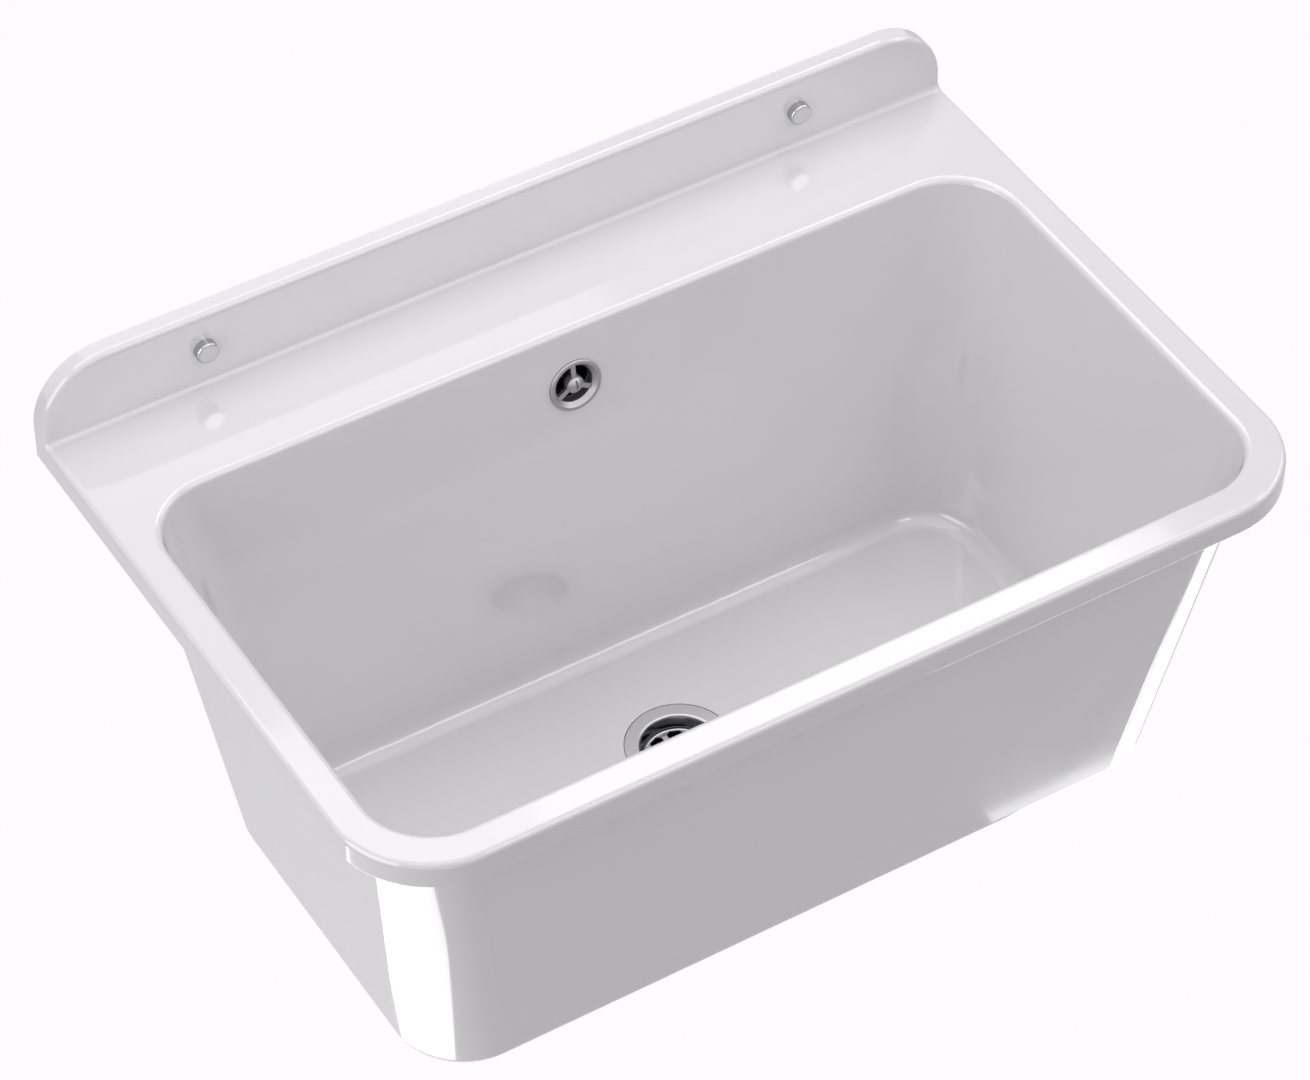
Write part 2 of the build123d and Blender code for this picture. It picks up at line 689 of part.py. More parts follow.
with BuildPart() as waste_insert_nut:
    with BuildSketch(insert_place):
        RegularPolygon(WASTE_INSERT_FLATS / 2, 6, major_radius=False)
        Circle(WASTE_SCREW_R + CLOSE, mode=Mode.SUBTRACT)
    extrude(amount=WASTE_INSERT_HEIGHT)

# Bottle trap
washer_top = waste_place.offset(-tail_end)
tube_top = washer_top.offset(-TRAP_WASHER)
neck_top = tube_top.offset(-TUBE_FLANGE)
head_top = neck_top.offset(-NECK_COLLAR - NECK)
thread_top = head_top.offset(-HEAD_HEIGHT)
trap_inlet_washer = ring(TUBE_FLANGE_R, TRAP_WASHER_BORE_R, TRAP_WASHER, tube_top)
cup_floor = thread_top.offset(CUP_WALL - CUP_HEIGHT)
tube_length = tube_top.origin.Z - cup_floor.origin.Z - TUBE_ABOVE_CUP_FLOOR
trap_tube = turned(
    [
        (TUBE_R - TUBE_WALL, 0),
        (TUBE_FLANGE_R, 0),
        (TUBE_FLANGE_R, -TUBE_FLANGE),
        (TUBE_R, -TUBE_FLANGE),
        (TUBE_R, -tube_length),
        (TUBE_R - TUBE_WALL, -tube_length),
    ],
    tube_top,
)
trap_inlet_nut = hand_nut(
    TRAP_NUT_R,
    WASTE_TAIL_R + LOOSE,
    NECK_R + LOOSE,
    TRAP_NUT_HEIGHT,
    NUT_LIP,
    Plane(
        origin=neck_top.offset(-NECK_COLLAR - NUT_LIP + TRAP_NUT_HEIGHT).origin,
        z_dir=(0, 0, -1),
    ),
)
head_shell = turned(
    [
        (TUBE_R + LOOSE, 0),
        (NECK_COLLAR_R, 0),
        (NECK_COLLAR_R, -NECK_COLLAR),
        (NECK_R, -NECK_COLLAR),
        (NECK_R, -NECK_COLLAR - NECK),
        (HEAD_R, -NECK_COLLAR - NECK, HEAD_SHOULDER_R),
        (HEAD_R, -NECK_COLLAR - NECK - HEAD_HEIGHT),
        (HEAD_THREAD_R, -NECK_COLLAR - NECK - HEAD_HEIGHT),
        (HEAD_THREAD_R, -NECK_COLLAR - NECK - HEAD_HEIGHT - HEAD_THREAD_LENGTH),
        (HEAD_BORE_R, -NECK_COLLAR - NECK - HEAD_HEIGHT - HEAD_THREAD_LENGTH),
        (HEAD_BORE_R, -NECK_COLLAR - NECK - HEAD_TOP),
        (TUBE_R + LOOSE, -NECK_COLLAR - NECK - HEAD_TOP),
    ],
    neck_top,
)
outlet_end = Plane(
    origin=(0, WASTE_Y + OUTLET_REACH, head_top.origin.Z - OUTLET_DROP), z_dir=(0, 1, 0)
)
with BuildPart() as trap_body:
    add(head_shell)
    with Locations(outlet_end):
        Cylinder(
            OUTLET_THREAD_R,
            OUTLET_REACH - (HEAD_R + HEAD_BORE_R) / 2,
            align=(Align.CENTER, Align.CENTER, Align.MAX),
        )
        Cylinder(
            OUTLET_BORE_R,
            OUTLET_REACH - TUBE_R - BORE_MARGIN,
            align=(Align.CENTER, Align.CENTER, Align.MAX),
            mode=Mode.SUBTRACT,
        )
        Cylinder(
            OUTLET_PIPE_R + LOOSE,
            OUTLET_INSERTION,
            align=(Align.CENTER, Align.CENTER, Align.MAX),
            mode=Mode.SUBTRACT,
        )
seal_top = thread_top.offset(-HEAD_THREAD_LENGTH)
cup_bore_r = CUP_R - CUP_WALL
trap_cup_seal = ring(HEAD_THREAD_R, cup_bore_r + LOOSE, CUP_SEAL, seal_top.offset(-CUP_SEAL))
cup_ledge = HEAD_THREAD_LENGTH + CUP_SEAL
trap_cup = turned(
    [
        (HEAD_THREAD_R + LOOSE, -LOOSE),
        (CUP_COLLAR_R, -LOOSE, CUP_COLLAR_EDGE_R),
        (CUP_COLLAR_R, -cup_ledge - LOOSE, CUP_COLLAR_EDGE_R),
        (CUP_R, -cup_ledge - CUP_SHOULDER),
        (CUP_R, -CUP_HEIGHT, CUP_EDGE_R),
        (0, -CUP_HEIGHT),
        (0, CUP_WALL - CUP_HEIGHT),
        (cup_bore_r, CUP_WALL - CUP_HEIGHT, CUP_EDGE_R - CUP_WALL),
        (cup_bore_r, -cup_ledge),
        (HEAD_THREAD_R + LOOSE, -cup_ledge),
    ],
    thread_top,
)
outlet_nut = hand_nut(
    OUTLET_NUT_R,
    OUTLET_THREAD_R + LOOSE,
    OUTLET_PIPE_R + LOOSE,
    OUTLET_NUT_HEIGHT,
    NUT_LIP,
    outlet_end.offset(NUT_LIP + OUTLET_SEAL - OUTLET_NUT_HEIGHT),
)
outlet_seal = ring(OUTLET_THREAD_R, OUTLET_PIPE_R + CLOSE, OUTLET_SEAL, outlet_end)
pipe_start = outlet_end.offset(-OUTLET_INSERTION)
mark_start = OUTLET_MARK_BEHIND_WALL - pipe_start.origin.Y
mark_end = mark_start + OUTLET_MARK_WIDTH
pipe_length = OUTLET_BEHIND_WALL - pipe_start.origin.Y
outlet_pipe = turned(
    [
        (OUTLET_PIPE_R - OUTLET_PIPE_WALL, 0),
        (OUTLET_PIPE_R, 0),
        (OUTLET_PIPE_R, mark_start),
        (OUTLET_PIPE_R - OUTLET_MARK_DEPTH, mark_start),
        (OUTLET_PIPE_R - OUTLET_MARK_DEPTH, mark_end),
        (OUTLET_PIPE_R, mark_end),
        (OUTLET_PIPE_R, pipe_length),
        (OUTLET_PIPE_R - OUTLET_PIPE_WALL, pipe_length),
    ],
    pipe_start,
)
wall_rosette = turned(
    [
        (WALL_ROSETTE_R, 0),
        (WALL_ROSETTE_R, WALL_ROSETTE_RIM),
        (WALL_ROSETTE_NOSE_R, WALL_ROSETTE_DEPTH, WALL_ROSETTE_BEND_R),
        (OUTLET_PIPE_R + LOOSE, WALL_ROSETTE_DEPTH),
        (OUTLET_PIPE_R + LOOSE, WALL_ROSETTE_DEPTH - WALL_ROSETTE_SLEEVE),
        (OUTLET_PIPE_R + LOOSE + WALL_ROSETTE_SHEET, WALL_ROSETTE_DEPTH - WALL_ROSETTE_SLEEVE),
        (OUTLET_PIPE_R + LOOSE + WALL_ROSETTE_SHEET, WALL_ROSETTE_DEPTH - WALL_ROSETTE_SHEET),
        (WALL_ROSETTE_NOSE_R - WALL_ROSETTE_SHEET / 2, WALL_ROSETTE_DEPTH - WALL_ROSETTE_SHEET),
        (WALL_ROSETTE_R - 2 * WALL_ROSETTE_SHEET, 0),
    ],
    Plane(origin=(0, 0, outlet_end.origin.Z), z_dir=(0, -1, 0)),
)

pieces = {
    "basin": basin.part,
    "wall_bolts": wall_bolts.part,
    "bolt_bushes": bolt_bushes.part,
    "bolt_washers": bolt_washers.part,
    "bolt_nuts": bolt_nuts.part,
    "left_fixing_cap": left_fixing_cap,
    "right_fixing_cap": right_fixing_cap,
    "overflow_rosette": overflow_rosette.part,
    "overflow_screw": overflow_screw,
    "overflow_gasket": overflow_gasket,
    "overflow_elbow": overflow_elbow.part,
    "overflow_insert_nut": overflow_insert_nut,
    "overflow_upper_nut": overflow_upper_nut,
    "overflow_upper_seal": overflow_upper_seal,
    "overflow_pipe": overflow_pipe.part,
    "overflow_lower_nut": overflow_lower_nut,
    "overflow_lower_seal": overflow_lower_seal,
    "waste_strainer": waste_strainer.part,
    "waste_screw": waste_screw,
    "strainer_gasket": strainer_gasket,
    "waste_gasket": waste_gasket,
    "waste_body": waste_body.part,
    "waste_insert_nut": waste_insert_nut.part,
    "trap_inlet_nut": trap_inlet_nut,
    "trap_inlet_washer": trap_inlet_washer,
    "trap_tube": trap_tube,
    "trap_body": trap_body.part,
    "trap_cup": trap_cup,
    "trap_cup_seal": trap_cup_seal,
    "outlet_nut": outlet_nut,
    "outlet_seal": outlet_seal,
    "outlet_pipe": outlet_pipe,
    "wall_rosette": wall_rosette,
}
for name, piece in pieces.items():
    piece.label = name
    export_step(piece, f"parts/{name}.step")
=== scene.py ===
# %% [markdown]
# A wall-hung utility sink, dressed for a studio picture. The solids come from the packed
# model, which stays the fixed frame: every node keeps its place and its shape, and this
# lesson adds the camera, the finishes, the screw threads and grip ribs that only the eye
# needs, and the light.

# %% Load the frame
import json
import math

import bmesh
import bpy
from mathutils import Matrix, Vector


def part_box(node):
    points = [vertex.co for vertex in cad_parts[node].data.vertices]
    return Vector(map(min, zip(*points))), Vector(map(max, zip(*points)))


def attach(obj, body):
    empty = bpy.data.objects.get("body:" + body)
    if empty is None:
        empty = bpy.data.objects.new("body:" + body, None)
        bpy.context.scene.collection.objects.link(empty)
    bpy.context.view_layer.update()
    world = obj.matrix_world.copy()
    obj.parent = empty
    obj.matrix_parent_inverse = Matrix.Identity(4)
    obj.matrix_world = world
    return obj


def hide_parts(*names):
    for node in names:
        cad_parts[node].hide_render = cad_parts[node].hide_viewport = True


MM = 0.001
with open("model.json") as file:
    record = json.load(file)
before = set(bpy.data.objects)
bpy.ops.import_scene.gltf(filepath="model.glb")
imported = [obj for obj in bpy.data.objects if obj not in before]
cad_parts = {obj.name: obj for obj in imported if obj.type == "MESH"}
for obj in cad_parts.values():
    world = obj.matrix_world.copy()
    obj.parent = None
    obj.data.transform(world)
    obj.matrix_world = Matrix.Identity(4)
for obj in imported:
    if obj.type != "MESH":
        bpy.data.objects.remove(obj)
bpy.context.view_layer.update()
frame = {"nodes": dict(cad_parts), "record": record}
nodes = frame["nodes"]

# %% [markdown]
# The camera stands in front of the sink, to its left and well above the rim. Its place, its
# direction and its long lens were worked out from the edges of the rim, the splashback and
# the floor in the photograph, so it is set by numbers and not aimed by eye.

# %% Camera
CAMERA_PLACE = Vector((-1.0908, -1.9613, 1.9840))
CAMERA_AZIMUTH = math.radians(-31.405)
CAMERA_HEIGHT = math.radians(45.097)
CAMERA_LENS = 142.19
CAMERA_SENSOR = 36.0


def camera_axes(azimuth, height):
    back = Vector(
        (
            math.sin(azimuth) * math.cos(height),
            -math.cos(azimuth) * math.cos(height),
            math.sin(height),
        )
    )
    right = Vector((math.cos(azimuth), math.sin(azimuth), 0.0))
    return Matrix((right, back.cross(right), back)).transposed()


camera_data = bpy.data.cameras.new("studio_camera")
camera_data.sensor_fit = "HORIZONTAL"
camera_data.sensor_width = CAMERA_SENSOR
camera_data.lens = CAMERA_LENS
camera_data.clip_start = 0.05
camera_data.clip_end = 50.0
camera = bpy.data.objects.new("studio_camera", camera_data)
bpy.context.scene.collection.objects.link(camera)
camera.matrix_world = (
    Matrix.Translation(CAMERA_PLACE) @ camera_axes(CAMERA_AZIMUTH, CAMERA_HEIGHT).to_4x4()
)
bpy.context.scene.camera = camera
bpy.context.scene.view_settings.view_transform = "Standard"
print("camera at", tuple(camera.location))

# %% [markdown]
# Every finish here is a node material. Two helpers keep the cells short: one turns a colour
# written as sRGB hex into the linear values that the renderer works in, and one adds a node,
# sets its values and plugs its links in. A third starts a material with its shader, its
# output and the Object coordinates, which are metres here, so a noise whose Scale is 25 has
# lumps one twenty-fifth of a metre across. The rest make what most finishes share: lumps of
# noise, their spread over a range, a height in metres, the bump from it, and a tint between
# two colours.


# %% Helpers for materials
def colour(hex_code):
    channels = [int(hex_code[i : i + 2], 16) / 255 for i in (1, 3, 5)]
    linear = [c / 12.92 if c <= 0.04045 else ((c + 0.055) / 1.055) ** 2.4 for c in channels]
    return (*linear, 1.0)


def add_node(tree, kind, settings=None, inputs=None, links=None):
    made = tree.nodes.new(kind)
    for name, value in (settings or {}).items():
        setattr(made, name, value)
    for name, value in (inputs or {}).items():
        made.inputs[name].default_value = value
    for name, socket in (links or {}).items():
        tree.links.new(socket, made.inputs[name])
    return made


def new_material(name, inputs):
    material = bpy.data.materials.new(name)
    material.use_nodes = True
    tree = material.node_tree
    tree.nodes.clear()
    shader = add_node(tree, "ShaderNodeBsdfPrincipled", inputs=inputs)
    add_node(tree, "ShaderNodeOutputMaterial", links={"Surface": shader.outputs[0]})
    place = add_node(tree, "ShaderNodeTexCoord").outputs["Object"]
    print("material", name)
    return material, tree, shader, place


def lumps(tree, place, size, detail=2.0):
    noise = add_node(
        tree,
        "ShaderNodeTexNoise",
        inputs={"Scale": 1.0 / size, "Detail": detail, "Roughness": 0.5},
        links={"Vector": place},
    )
    return noise.outputs["Fac"]


def spread(tree, value, low, high):
    # noise keeps mostly to the middle of its range, so that middle is stretched to the ends
    return add_node(
        tree,
        "ShaderNodeMapRange",
        inputs={"From Min": 0.3, "From Max": 0.7, "To Min": low, "To Max": high},
        links={"Value": value},
    ).outputs["Result"]


def raised(tree, value, height, onto=None):
    # the height of a pattern in metres, added onto the height of another pattern
    links = {0: value} if onto is None else {0: value, 2: onto}
    return add_node(
        tree,
        "ShaderNodeMath",
        settings={"operation": "MULTIPLY_ADD"},
        inputs={1: height, 2: 0.0},
        links=links,
    ).outputs[0]


def relief(tree, shader, height, coat=False):
    bump = add_node(
        tree, "ShaderNodeBump", inputs={"Strength": 1.0, "Distance": 1.0}, links={"Height": height}
    ).outputs["Normal"]
    tree.links.new(bump, shader.inputs["Normal"])
    if coat:
        tree.links.new(bump, shader.inputs["Coat Normal"])


def tinted(tree, shader, value, first, second):
    mix = add_node(
        tree,
        "ShaderNodeMix",
        settings={"data_type": "RGBA"},
        inputs={6: colour(first), 7: colour(second)},
        links={0: value},
    )
    tree.links.new(mix.outputs[2], shader.inputs["Base Color"])


# %% [markdown]
# The basin is one casting of mineral and resin with a glossy white gelcoat against the mould.
# The gelcoat is what the eye sees: almost white, very slightly cool, with a deep shine that
# mirrors the waste and the caps softly. Two clear layers give that shine, the resin itself
# and the polished skin on it, so the shader has a coat over a base of the same kind.
#
# Its roughness wanders over lumps 40 mm wide, as a hand-polished mould leaves it. A low wave
# 120 mm long and an orange peel of 2.5 mm keep the reflections from looking drawn with a
# ruler. The face that lies on the wall is ground flat, so there the scratches are deeper.

# %% Gelcoat of the basin
POLISH = 40 * MM
TINT = 90 * MM
WAVE = 120 * MM
PEEL = 2.5 * MM
GRIT = 1.2 * MM
composite, tree, shader, place = new_material(
    "cast_composite_gelcoat",
    {
        "IOR": 1.55,
        "Coat Weight": 1.0,
        "Coat Roughness": 0.05,
        "Coat IOR": 1.55,
    },
)
polish = lumps(tree, place, POLISH)
tree.links.new(spread(tree, polish, 0.07, 0.13), shader.inputs["Roughness"])
tinted(tree, shader, lumps(tree, place, TINT), "#E9E7EA", "#E7E5E8")
wave = raised(tree, lumps(tree, place, WAVE, 1.0), 0.25 * MM)
peel = raised(tree, lumps(tree, place, PEEL, 0.0), 0.0012 * MM, wave)
depth = add_node(tree, "ShaderNodeSeparateXYZ", links={"Vector": place}).outputs["Y"]
ground_back = add_node(
    tree,
    "ShaderNodeMapRange",
    inputs={"From Min": -0.9 * MM, "From Max": -0.3 * MM},
    links={"Value": depth},
).outputs["Result"]
grit = add_node(
    tree,
    "ShaderNodeMath",
    settings={"operation": "MULTIPLY"},
    links={0: lumps(tree, place, GRIT), 1: ground_back},
).outputs[0]
relief(tree, shader, raised(tree, grit, 0.12 * MM, peel), coat=True)
print("gelcoat patterns in metres:", POLISH, TINT, WAVE, PEEL, GRIT)

# %% [markdown]
# The overflow rosette and the strainer are turned or spun, and a tool or a buffing belt that
# goes round leaves rings. A Mapping node of the Texture kind moves the pattern's middle to
# the piece's axis and tilts it, the length of what is left of the place is the radius, and a
# noise of one dimension over the radius draws rings that are never quite even.


# %% Rings round an axis
def radius_from(tree, place, centre, tilt=0.0):
    turned_place = add_node(
        tree,
        "ShaderNodeMapping",
        settings={"vector_type": "TEXTURE"},
        inputs={"Location": centre, "Rotation": (tilt, 0.0, 0.0)},
        links={"Vector": place},
    )
    flat = add_node(
        tree,
        "ShaderNodeVectorMath",
        settings={"operation": "MULTIPLY"},
        inputs={1: (1.0, 1.0, 0.0)},
        links={0: turned_place.outputs["Vector"]},
    )
    return add_node(
        tree,
        "ShaderNodeVectorMath",
        settings={"operation": "LENGTH"},
        links={0: flat.outputs["Vector"]},
    ).outputs["Value"]


def rings(tree, radius, spacing):
    return add_node(
        tree,
        "ShaderNodeTexNoise",
        settings={"noise_dimensions": "1D"},
        inputs={"Scale": 1.0 / spacing, "Detail": 2.0, "Roughness": 0.6},
        links={"W": radius},
    ).outputs["Fac"]


# %% [markdown]
# The caps over the wall bolts are brass with bright chrome plate. Chrome is a clear, slightly
# cool mirror. What keeps it real is a haze that comes and goes over 5 mm, as wiping leaves
# it, and the faint waviness of the pressed brass below.

# %% Bright chrome
chrome, tree, shader, place = new_material(
    "bright_chrome_plate", {"Base Color": colour("#B8B9BC"), "Metallic": 1.0}
)
haze = lumps(tree, place, 5 * MM)
tree.links.new(spread(tree, haze, 0.05, 0.13), shader.inputs["Roughness"])
relief(tree, shader, raised(tree, lumps(tree, place, 4 * MM, 1.0), 0.02 * MM))

# %% [markdown]
# The overflow rosette has satin chrome plate: brushed round its axis before plating, so it is
# grey and soft where the caps are bright. Its rings are 0.7 mm apart, about as fine as the
# picture can show. The rosette lies on the bowl's leaning back wall, so its axis leans too.

# %% Satin chrome
ROSETTE_MIDDLE = Vector((0.0, -86.0 * MM, -65.1 * MM))
BACK_WALL_LEAN = 0.136
satin_chrome, tree, shader, place = new_material(
    "satin_chrome_plate", {"Base Color": colour("#B2B1B4"), "Metallic": 1.0}
)
radius = radius_from(tree, place, ROSETTE_MIDDLE, math.atan2(1.0, BACK_WALL_LEAN))
brushed = rings(tree, radius, 0.7 * MM)
tree.links.new(spread(tree, brushed, 0.38, 0.56), shader.inputs["Roughness"])
relief(tree, shader, raised(tree, brushed, 0.02 * MM))
print("rosette middle", tuple(ROSETTE_MIDDLE))

# %% [markdown]
# The strainer is pressed from stainless sheet. Its flange was brushed on a turntable, which
# leaves rings and a soft grey. The wall of its throat is painted dark grey in the base colour:
# this is painted shade and painted reflection of the deep, dark throat, not a colour of the steel.
# The grid and the bead at the bottom were polished again and are a lighter grey. A Color Ramp
# over the radius tells the three apart, and a Map Range makes the flange rougher than the rest.
#
# The waste screw and the wall rosette are of the same steel. The wall rosette lies far
# outside the flange, where the rings are wide arcs, so its brush lines cross it almost
# straight, as on sheet that was brushed before it was pressed.

# %% Stainless steel
WASTE_MIDDLE = Vector((0.0, -202.3 * MM, 0.0))
MOUTH_R = 23.7 * MM
GRID_R = 21.5 * MM
steel, tree, shader, place = new_material(
    "brushed_stainless_steel", {"Metallic": 1.0}
)
radius = radius_from(tree, place, WASTE_MIDDLE)
brushed = rings(tree, radius, 0.5 * MM)
on_flange = add_node(
    tree,
    "ShaderNodeMapRange",
    inputs={"From Min": MOUTH_R - 0.5 * MM, "From Max": MOUTH_R + 1.5 * MM},
    links={"Value": radius},
).outputs["Result"]
flange_finish = add_node(
    tree,
    "ShaderNodeMath",
    settings={"operation": "MULTIPLY_ADD"},
    inputs={1: 0.20},
    links={0: on_flange, 2: spread(tree, brushed, 0.12, 0.20)},
).outputs[0]
tree.links.new(flange_finish, shader.inputs["Roughness"])
relief(tree, shader, raised(tree, brushed, 0.006 * MM))
# painted shade: this ramp colours the throat's wall dark grey where the deep throat is shaded and
# mirrors the dark slots
painted_throat_shade = add_node(
    tree,
    "ShaderNodeValToRGB",
    links={
        "Fac": add_node(
            tree,
            "ShaderNodeMapRange",
            inputs={"From Min": GRID_R - 1.0 * MM, "From Max": GRID_R + 3.0 * MM},
            links={"Value": radius},
        ).outputs["Result"]
    },
)
painted_throat_shade.color_ramp.elements[0].position = 0.20
painted_throat_shade.color_ramp.elements[0].color = colour("#C4C5C8")
painted_throat_shade.color_ramp.elements[1].position = 0.30
painted_throat_shade.color_ramp.elements[1].color = colour("#5C5D60")
# the dark stop is the painted shade of the throat's wall, the light stop is the flange's own grey
for position, skin_and_shade in ((0.66, "#5C5D60"), (0.76, "#BBBABC")):
    painted_throat_shade.color_ramp.elements.new(position).color = colour(skin_and_shade)
tree.links.new(painted_throat_shade.outputs["Color"], shader.inputs["Base Color"])
print("flange outside", round(MOUTH_R * 1000, 1), "mm")

# %% [markdown]
# The bolts, nuts and washers under the caps are steel with zinc plate: a dull blue-grey metal
# whose crystals and yellowish passivation show as soft patches about 3 mm wide.

# %% Zinc plate
zinc, tree, shader, place = new_material("zinc_plated_steel", {"Metallic": 1.0})
patches = lumps(tree, place, 3 * MM, 3.0)
tinted(tree, shader, spread(tree, patches, 0.0, 1.0), "#AFB4BB", "#BDB9A8")
tree.links.new(spread(tree, patches, 0.28, 0.42), shader.inputs["Roughness"])
relief(tree, shader, raised(tree, lumps(tree, place, 0.6 * MM), 0.012 * MM))

# %% [markdown]
# The threaded inserts are turned brass: warm yellow, with the fine cross-marks of a cutting
# tool and a little brown tarnish in patches.

# %% Turned brass
brass, tree, shader, place = new_material("turned_brass", {"Metallic": 1.0})
tarnish = lumps(tree, place, 4 * MM, 3.0)
tinted(tree, shader, spread(tree, tarnish, 0.0, 1.0), "#CDAA5E", "#B18B48")
tree.links.new(spread(tree, tarnish, 0.22, 0.36), shader.inputs["Roughness"])
relief(tree, shader, raised(tree, lumps(tree, place, 0.4 * MM), 0.01 * MM))

# %% [markdown]
# Moulded plastic copies the skin of its steel mould. The trap is white polypropylene: waxy,
# a little translucent to the eye, with a fine spark-eroded grain of about 0.8 mm and a thin
# ridge at x = 0, where the halves of the mould met. The overflow and waste kit is the same
# plastic in black, which is why the openings look so dark from above. The bushes round the
# wall bolts are grey nylon, which takes the same skin.


# %% Moulded polypropylene
def moulded(name, first, second, roughness, grain):
    material, tree, shader, place = new_material(name, {"IOR": 1.49})
    tinted(tree, shader, spread(tree, lumps(tree, place, 25 * MM), 0.0, 1.0), first, second)
    skin_and_shade = lumps(tree, place, grain)
    sheen = spread(tree, skin_and_shade, roughness - 0.04, roughness + 0.05)
    tree.links.new(sheen, shader.inputs["Roughness"])
    across = add_node(tree, "ShaderNodeSeparateXYZ", links={"Vector": place}).outputs["X"]
    distance = add_node(
        tree, "ShaderNodeMath", settings={"operation": "ABSOLUTE"}, links={0: across}
    ).outputs[0]
    ridge = add_node(
        tree,
        "ShaderNodeMapRange",
        inputs={"From Min": 0.1 * MM, "From Max": 0.35 * MM, "To Min": 1.0, "To Max": 0.0},
        links={"Value": distance},
    ).outputs["Result"]
    relief(tree, shader, raised(tree, ridge, 0.12 * MM, raised(tree, skin_and_shade, 0.01 * MM)))
    return material


white_plastic = moulded("white_polypropylene", "#E6E6E1", "#E2E2DE", 0.36, 0.8 * MM)
black_plastic = moulded("black_polypropylene", "#1A1A1C", "#202022", 0.38, 0.8 * MM)
nylon = moulded("grey_nylon", "#8A8C8E", "#939496", 0.50, 0.6 * MM)

# %% [markdown]
# The seals are black rubber from a compression mould: nearly matt, slightly grey with bloom.

# %% Black rubber
rubber, tree, shader, place = new_material("black_rubber", {"IOR": 1.52})
bloom = lumps(tree, place, 6 * MM, 4.0)
tinted(tree, shader, spread(tree, bloom, 0.0, 1.0), "#171718", "#262627")
tree.links.new(spread(tree, bloom, 0.62, 0.80), shader.inputs["Roughness"])
relief(tree, shader, raised(tree, lumps(tree, place, 0.5 * MM), 0.02 * MM))

# %% [markdown]
# Each node's record names its material slot, so one table from slot to finish dresses the
# whole assembly, and no piece can be forgotten.

# %% Put the finishes on the nodes
FINISHES = {
    "cast_composite": composite,
    "chrome_plate": chrome,
    "satin_chrome": satin_chrome,
    "stainless_steel": steel,
    "zinc_plated_steel": zinc,
    "grey_nylon": nylon,
    "brass": brass,
    "black_rubber": rubber,
    "white_polypropylene": white_plastic,
    "black_polypropylene": black_plastic,
}
slot_of = {part["node"]: part["material_slot"] for part in frame["record"]["subparts"]}
for name, piece in nodes.items():
    piece.data.materials.clear()
    piece.data.materials.append(FINISHES[slot_of[name]])
print("finishes on", len(nodes), "nodes")

# %% [markdown]
# Screw threads are left out of the solids, where they would only be weight, and are made here
# for the eye. A thread is one pitch of its flank, a chain of a few points, spun up a helix:
# the spin operator turns the chain and lifts it a little at each step. The end of one turn
# lands on the start of the next, so merging the doubles closes the screw, and two cuts with
# caps square off its ends.


# %% Helpers for pieces
def thread(flank, pitch, low, high, steps=20):
    shape = bmesh.new()
    turns = math.ceil((high - low) / pitch) + 2
    chain = [shape.verts.new((radius, 0.0, low - pitch + rise)) for radius, rise in flank]
    edges = [shape.edges.new(pair) for pair in zip(chain, chain[1:])]
    bmesh.ops.spin(
        shape,
        geom=chain + edges,
        cent=(0.0, 0.0, 0.0),
        axis=(0.0, 0.0, 1.0),
        dvec=(0.0, 0.0, pitch / steps),
        angle=math.tau * turns,
        steps=steps * turns,
        use_merge=False,
        use_duplicate=False,
    )
    bmesh.ops.remove_doubles(shape, verts=shape.verts, dist=0.001 * MM)
    for height, side in ((low, -1.0), (high, 1.0)):
        bmesh.ops.bisect_plane(
            shape,
            geom=shape.verts[:] + shape.edges[:] + shape.faces[:],
            dist=0.0001 * MM,
            plane_co=(0.0, 0.0, height),
            plane_no=(0.0, 0.0, side),
            clear_outer=True,
        )
        rim = [edge for edge in shape.edges if edge.is_boundary]
        rim = [edge for edge in rim if all(abs(v.co.z - height) < 0.01 * MM for v in edge.verts)]
        bmesh.ops.holes_fill(shape, edges=rim, sides=0)
    return shape


def joined(shapes):
    whole = bmesh.new()
    for shape in shapes:
        passing = bpy.data.meshes.new("passing")
        shape.to_mesh(passing)
        shape.free()
        whole.from_mesh(passing)
        bpy.data.meshes.remove(passing)
    return whole


def finished_piece(name, shape, body, slot, smooth_below=35.0):
    bmesh.ops.recalc_face_normals(shape, faces=shape.faces)
    for face in shape.faces:
        face.smooth = True
    mesh = bpy.data.meshes.new(name)
    shape.to_mesh(mesh)
    shape.free()
    mesh.set_sharp_from_angle(angle=math.radians(smooth_below))
    mesh.materials.append(FINISHES[slot])
    piece = bpy.data.objects.new(name, mesh)
    bpy.context.scene.collection.objects.link(piece)
    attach(piece, body)
    print(name, len(mesh.polygons), "faces on", body)
    return piece


# %% [markdown]
# The two wall bolts are hanger bolts. In front of the wall they carry a machine thread for
# the nut, and behind it a coarse wood thread that bites into the plug. Each is two threads
# that meet at the wall's face, with the end of the wood thread drawn in to a blunt point.

# %% Wall bolts
BOLT_X = 197.5 * MM
MACHINE_PITCH = 1.0 * MM
MACHINE_ROOT_R = 2.45 * MM
MACHINE_CREST_R = 2.98 * MM
MACHINE_FLANK = [
    (MACHINE_ROOT_R, 0.0),
    (MACHINE_CREST_R, 0.45 * MM),
    (MACHINE_CREST_R, 0.55 * MM),
    (MACHINE_ROOT_R, MACHINE_PITCH),
]
WOOD_PITCH = 3.2 * MM
WOOD_STEPS = 28
WOOD_ROOT_R = 2.7 * MM
WOOD_CREST_R = 3.95 * MM
WOOD_FLANK = [
    (WOOD_ROOT_R, 0.0),
    (2.75 * MM, 1.9 * MM),
    (WOOD_CREST_R, 2.5 * MM),
    (WOOD_CREST_R, 2.6 * MM),
    (WOOD_ROOT_R, WOOD_PITCH),
]
POINT_R = 1.8 * MM
POINT_SLOPE = 0.75
bolts_low, bolts_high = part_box("wall_bolts")
bolts = []
